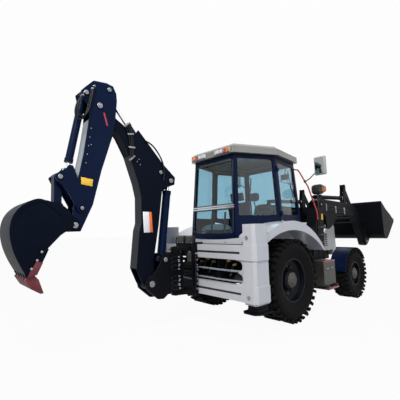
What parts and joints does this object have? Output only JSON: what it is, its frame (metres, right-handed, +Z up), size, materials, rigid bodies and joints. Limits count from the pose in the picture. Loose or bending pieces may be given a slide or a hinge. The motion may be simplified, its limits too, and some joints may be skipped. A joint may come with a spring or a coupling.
{
  "type": "backhoe loader",
  "caption": "Wheeled backhoe loader: glazed cab, front loader bucket on lift arms, rear digging arm on a sliding carriage, stabiliser legs and lugged tyres.",
  "frame": {"origin": "on the ground at the middle of the whole machine's length and width, in its parked pose", "axes": "+X forward, towards the loader bucket; +Y to the machine's left; +Z up"},
  "size_m": [8.5464, 2.38, 3.6399],
  "materials": {
    "tyre": "matt rubber",
    "rim_black": "satin black paint",
    "white_paint": "gloss white paint",
    "cream_paint": "gloss off-white paint",
    "black_paint": "satin blue-black paint",
    "chrome_rod": "polished hard chrome",
    "iron_grey": "painted casting",
    "tinted_glass": "blue-green tint",
    "dark_grey": "satin dark grey paint",
    "seat_fabric": "woven cover",
    "black_plastic": "grained",
    "lamp_plastic": "clear-coated lens",
    "red_paint": "gloss red paint"
  },
  "bodies": {
    "chassis": {"chassis_frame": "black_paint", "loader_towers": "black_paint", "rear_frame": "white_paint", "rear_axle": "iron_grey", "front_axle": "iron_grey", "engine_block": "iron_grey", "gearbox": "iron_grey", "bonnet_sides": "cream_paint", "nose_grille": "cream_paint", "step_boxes": "dark_grey", "rear_fenders": "white_paint", "cab_shell": "black_paint", "cab_windows": "tinted_glass", "cab_roof": "cream_paint", "seat": "seat_fabric", "cab_controls": "black_plastic", "lamps": "lamp_plastic", "mirrors": "black_plastic", "handrails": "red_paint"},
    "wheel_rear_left": {"tyre_rear_left": "tyre", "rim_rear_left": "rim_black"},
    "wheel_rear_right": {"tyre_rear_right": "tyre", "rim_rear_right": "rim_black"},
    "wheel_front_left": {"tyre_front_left": "tyre", "rim_front_left": "rim_black"},
    "wheel_front_right": {"tyre_front_right": "tyre", "rim_front_right": "rim_black"},
    "knuckle_left": {"knuckle_left": "iron_grey", "front_mudguard_left": "black_paint"},
    "leg_left": {"stabiliser_leg_left": "white_paint"},
    "door_left": {"door_left": "black_paint", "door_glass_left": "tinted_glass"},
    "knuckle_right": {"knuckle_right": "iron_grey", "front_mudguard_right": "black_paint"},
    "leg_right": {"stabiliser_leg_right": "white_paint"},
    "door_right": {"door_right": "black_paint", "door_glass_right": "tinted_glass"},
    "loader_arms": {"loader_arms": "black_paint"},
    "lift_barrels": {"lift_ram_barrels": "black_paint"},
    "lift_rods": {"lift_ram_rods": "chrome_rod"},
    "tilt_barrels": {"tilt_ram_barrels": "black_paint"},
    "tilt_rods": {"tilt_ram_rods": "chrome_rod"},
    "bell_cranks": {"bell_cranks": "black_paint"},
    "tilt_links": {"tilt_links": "black_paint"},
    "loader_bucket": {"loader_bucket": "black_paint"},
    "carriage": {"carriage": "black_paint"},
    "kingpost": {"kingpost": "black_paint"},
    "boom": {"boom": "black_paint"},
    "boom_barrel": {"boom_ram_barrel": "black_paint"},
    "boom_rod": {"boom_ram_rod": "chrome_rod"},
    "dipper": {"dipper": "black_paint"},
    "dipper_barrel": {"dipper_ram_barrel": "black_paint"},
    "dipper_rod": {"dipper_ram_rod": "chrome_rod"},
    "tipping_lever": {"tipping_lever": "black_paint"},
    "bucket_link": {"bucket_link": "black_paint"},
    "backhoe_bucket": {"backhoe_bucket": "black_paint"},
    "bucket_barrel": {"bucket_ram_barrel": "black_paint"},
    "bucket_rod": {"bucket_ram_rod": "chrome_rod"},
    "bonnet_lid": {"bonnet_lid": "cream_paint"}
  },
  "joints": [
    {"name": "wheel_rear_left", "type": "hinge", "parent": "chassis", "child": "wheel_rear_left", "pos_m": [-0.503, 0.87, 0.66], "axis": [0, 1, 0], "continuous": true},
    {"name": "wheel_rear_right", "type": "hinge", "parent": "chassis", "child": "wheel_rear_right", "pos_m": [-0.503, -0.87, 0.66], "axis": [0, 1, 0], "continuous": true},
    {"name": "wheel_front_left", "type": "hinge", "parent": "knuckle_left", "child": "wheel_front_left", "pos_m": [1.847, 0.915, 0.5], "axis": [0, 1, 0], "continuous": true},
    {"name": "wheel_front_right", "type": "hinge", "parent": "knuckle_right", "child": "wheel_front_right", "pos_m": [1.847, -0.915, 0.5], "axis": [0, 1, 0], "continuous": true},
    {"name": "steering_left", "type": "hinge", "parent": "chassis", "child": "knuckle_left", "pos_m": [1.847, 0.72, 0.5], "axis": [0, 0, 1], "range_deg": [-28, 28]},
    {"name": "steering_right", "type": "hinge", "parent": "chassis", "child": "knuckle_right", "pos_m": [1.847, -0.72, 0.5], "axis": [0, 0, 1], "range_deg": [-28, 28]},
    {"name": "loader_raise", "type": "hinge", "parent": "chassis", "child": "loader_arms", "pos_m": [1.047, 0, 1.95], "axis": [0, -1, 0], "range_deg": [-28.5, 50]},
    {"name": "lift_ram_swing", "type": "hinge", "parent": "chassis", "child": "lift_barrels", "pos_m": [0.377, 0, 0.74], "axis": [0, -1, 0], "range_deg": [-2.11, 3.54]},
    {"name": "lift_ram_stroke", "type": "slide", "parent": "lift_barrels", "child": "lift_rods", "axis": [0.799, 0, 0.6013], "range_m": [-0.2536, 0.4434]},
    {"name": "loader_bucket_tilt", "type": "hinge", "parent": "loader_arms", "child": "loader_bucket", "pos_m": [3.277, 0, 1.1], "axis": [0, 1, 0], "range_deg": [-8, 87]},
    {"name": "bell_crank_turn", "type": "hinge", "parent": "loader_arms", "child": "bell_cranks", "pos_m": [2.697, 0, 1.85], "axis": [0, 1, 0], "range_deg": [-8.2, 87.2]},
    {"name": "tilt_link_turn", "type": "hinge", "parent": "bell_cranks", "child": "tilt_links", "pos_m": [2.693, 0, 2.46], "axis": [0, 1, 0], "range_deg": [-87.2, 8.2]},
    {"name": "tilt_ram_swing", "type": "hinge", "parent": "loader_arms", "child": "tilt_barrels", "pos_m": [1.297, 0, 2.14], "axis": [0, 1, 0], "range_deg": [-0.9, 7.85]},
    {"name": "tilt_ram_stroke", "type": "slide", "parent": "tilt_barrels", "child": "tilt_rods", "axis": [0.9997, 0, 0.0259], "range_m": [-0.0409, 0.4247]},
    {"name": "carriage_shift", "type": "slide", "parent": "chassis", "child": "carriage", "axis": [0, 1, 0], "range_m": [-0.85, 0.25]},
    {"name": "backhoe_swing", "type": "hinge", "parent": "carriage", "child": "kingpost", "pos_m": [-1.853, 0.3, 0.7], "axis": [0, 0, -1], "range_deg": [-90, 90]},
    {"name": "boom_lower", "type": "hinge", "parent": "kingpost", "child": "boom", "pos_m": [-2.393, 0.3, 0.72], "axis": [0, -1, 0], "range_deg": [0, 112]},
    {"name": "boom_ram_swing", "type": "hinge", "parent": "kingpost", "child": "boom_barrel", "pos_m": [-2.143, 0.3, 1.06], "axis": [0, -1, 0], "range_deg": [-0.2, 118.02]},
    {"name": "boom_ram_stroke", "type": "slide", "parent": "boom_barrel", "child": "boom_rod", "axis": [0.126, 0, 0.992], "range_m": [-0.002, 0.6971]},
    {"name": "dipper_out", "type": "hinge", "parent": "boom", "child": "dipper", "pos_m": [-3.203, 0.3, 3.28], "axis": [0, 1, 0], "range_deg": [-15, 77]},
    {"name": "dipper_ram_swing", "type": "hinge", "parent": "boom", "child": "dipper_barrel", "pos_m": [-2.183, 0.3, 2.44], "axis": [0, 1, 0], "range_deg": [-2.68, 0.68]},
    {"name": "dipper_ram_stroke", "type": "slide", "parent": "dipper_barrel", "child": "dipper_rod", "axis": [-0.6212, 0, 0.7836], "range_m": [-0.3475, 0.0693]},
    {"name": "bucket_curl", "type": "hinge", "parent": "dipper", "child": "backhoe_bucket", "pos_m": [-3.533, 0.3, 1.61], "axis": [0, -1, 0], "range_deg": [-8, 140]},
    {"name": "tipping_lever_turn", "type": "hinge", "parent": "dipper", "child": "tipping_lever", "pos_m": [-3.453, 0.3, 1.83], "axis": [0, -1, 0], "range_deg": [-5.64, 95.4]},
    {"name": "bucket_link_turn", "type": "hinge", "parent": "tipping_lever", "child": "bucket_link", "pos_m": [-3.723, 0.3, 2.22], "axis": [0, -1, 0], "range_deg": [-50.6, 3.08]},
    {"name": "bucket_ram_swing", "type": "hinge", "parent": "dipper", "child": "bucket_barrel", "pos_m": [-3.393, 0.3, 3.42], "axis": [0, -1, 0], "range_deg": [-10.24, 0.77]},
    {"name": "bucket_ram_stroke", "type": "slide", "parent": "bucket_barrel", "child": "bucket_rod", "axis": [-0.1892, 0, -0.9819], "range_m": [-0.0421, 0.704]},
    {"name": "stabiliser_left", "type": "slide", "parent": "chassis", "child": "leg_left", "axis": [0, 0, -1], "range_m": [0, 0.5]},
    {"name": "stabiliser_right", "type": "slide", "parent": "chassis", "child": "leg_right", "axis": [0, 0, -1], "range_m": [0, 0.5]},
    {"name": "door_left", "type": "hinge", "parent": "chassis", "child": "door_left", "pos_m": [-0.45017, 0.85371, 1.73984], "axis": [0.0051, -0.0633, 0.998], "range_deg": [0, 85]},
    {"name": "door_right", "type": "hinge", "parent": "chassis", "child": "door_right", "pos_m": [-0.45017, -0.85371, 1.73984], "axis": [0.0051, 0.0633, 0.998], "range_deg": [-85, 0]},
    {"name": "bonnet_lid_open", "type": "hinge", "parent": "chassis", "child": "bonnet_lid", "pos_m": [0.595, 0, 1.612], "axis": [0, -1, 0], "range_deg": [0, 55]}
  ],
  "couplings": [
    {"joint": "steering_right", "follows": "steering_left", "ratio": 1},
    {"joint": "lift_ram_swing", "follows": "loader_raise", "ratio": 0.0669},
    {"joint": "lift_ram_stroke", "follows": "loader_raise", "m_per_rad": 0.50585},
    {"joint": "bell_crank_turn", "follows": "loader_bucket_tilt", "ratio": 1},
    {"joint": "tilt_link_turn", "follows": "loader_bucket_tilt", "ratio": -1},
    {"joint": "tilt_ram_swing", "follows": "loader_bucket_tilt", "ratio": 0.0879},
    {"joint": "tilt_ram_stroke", "follows": "loader_bucket_tilt", "m_per_rad": 0.27839},
    {"joint": "boom_ram_swing", "follows": "boom_lower", "ratio": 1.052},
    {"joint": "boom_ram_stroke", "follows": "boom_lower", "m_per_rad": 0.35559},
    {"joint": "dipper_ram_swing", "follows": "dipper_out", "ratio": -0.0322},
    {"joint": "dipper_ram_stroke", "follows": "dipper_out", "m_per_rad": -0.25709},
    {"joint": "tipping_lever_turn", "follows": "bucket_curl", "ratio": 0.68},
    {"joint": "bucket_link_turn", "follows": "bucket_curl", "ratio": -0.36},
    {"joint": "bucket_ram_swing", "follows": "bucket_curl", "ratio": -0.0717},
    {"joint": "bucket_ram_stroke", "follows": "bucket_curl", "m_per_rad": 0.2873}
  ]
}
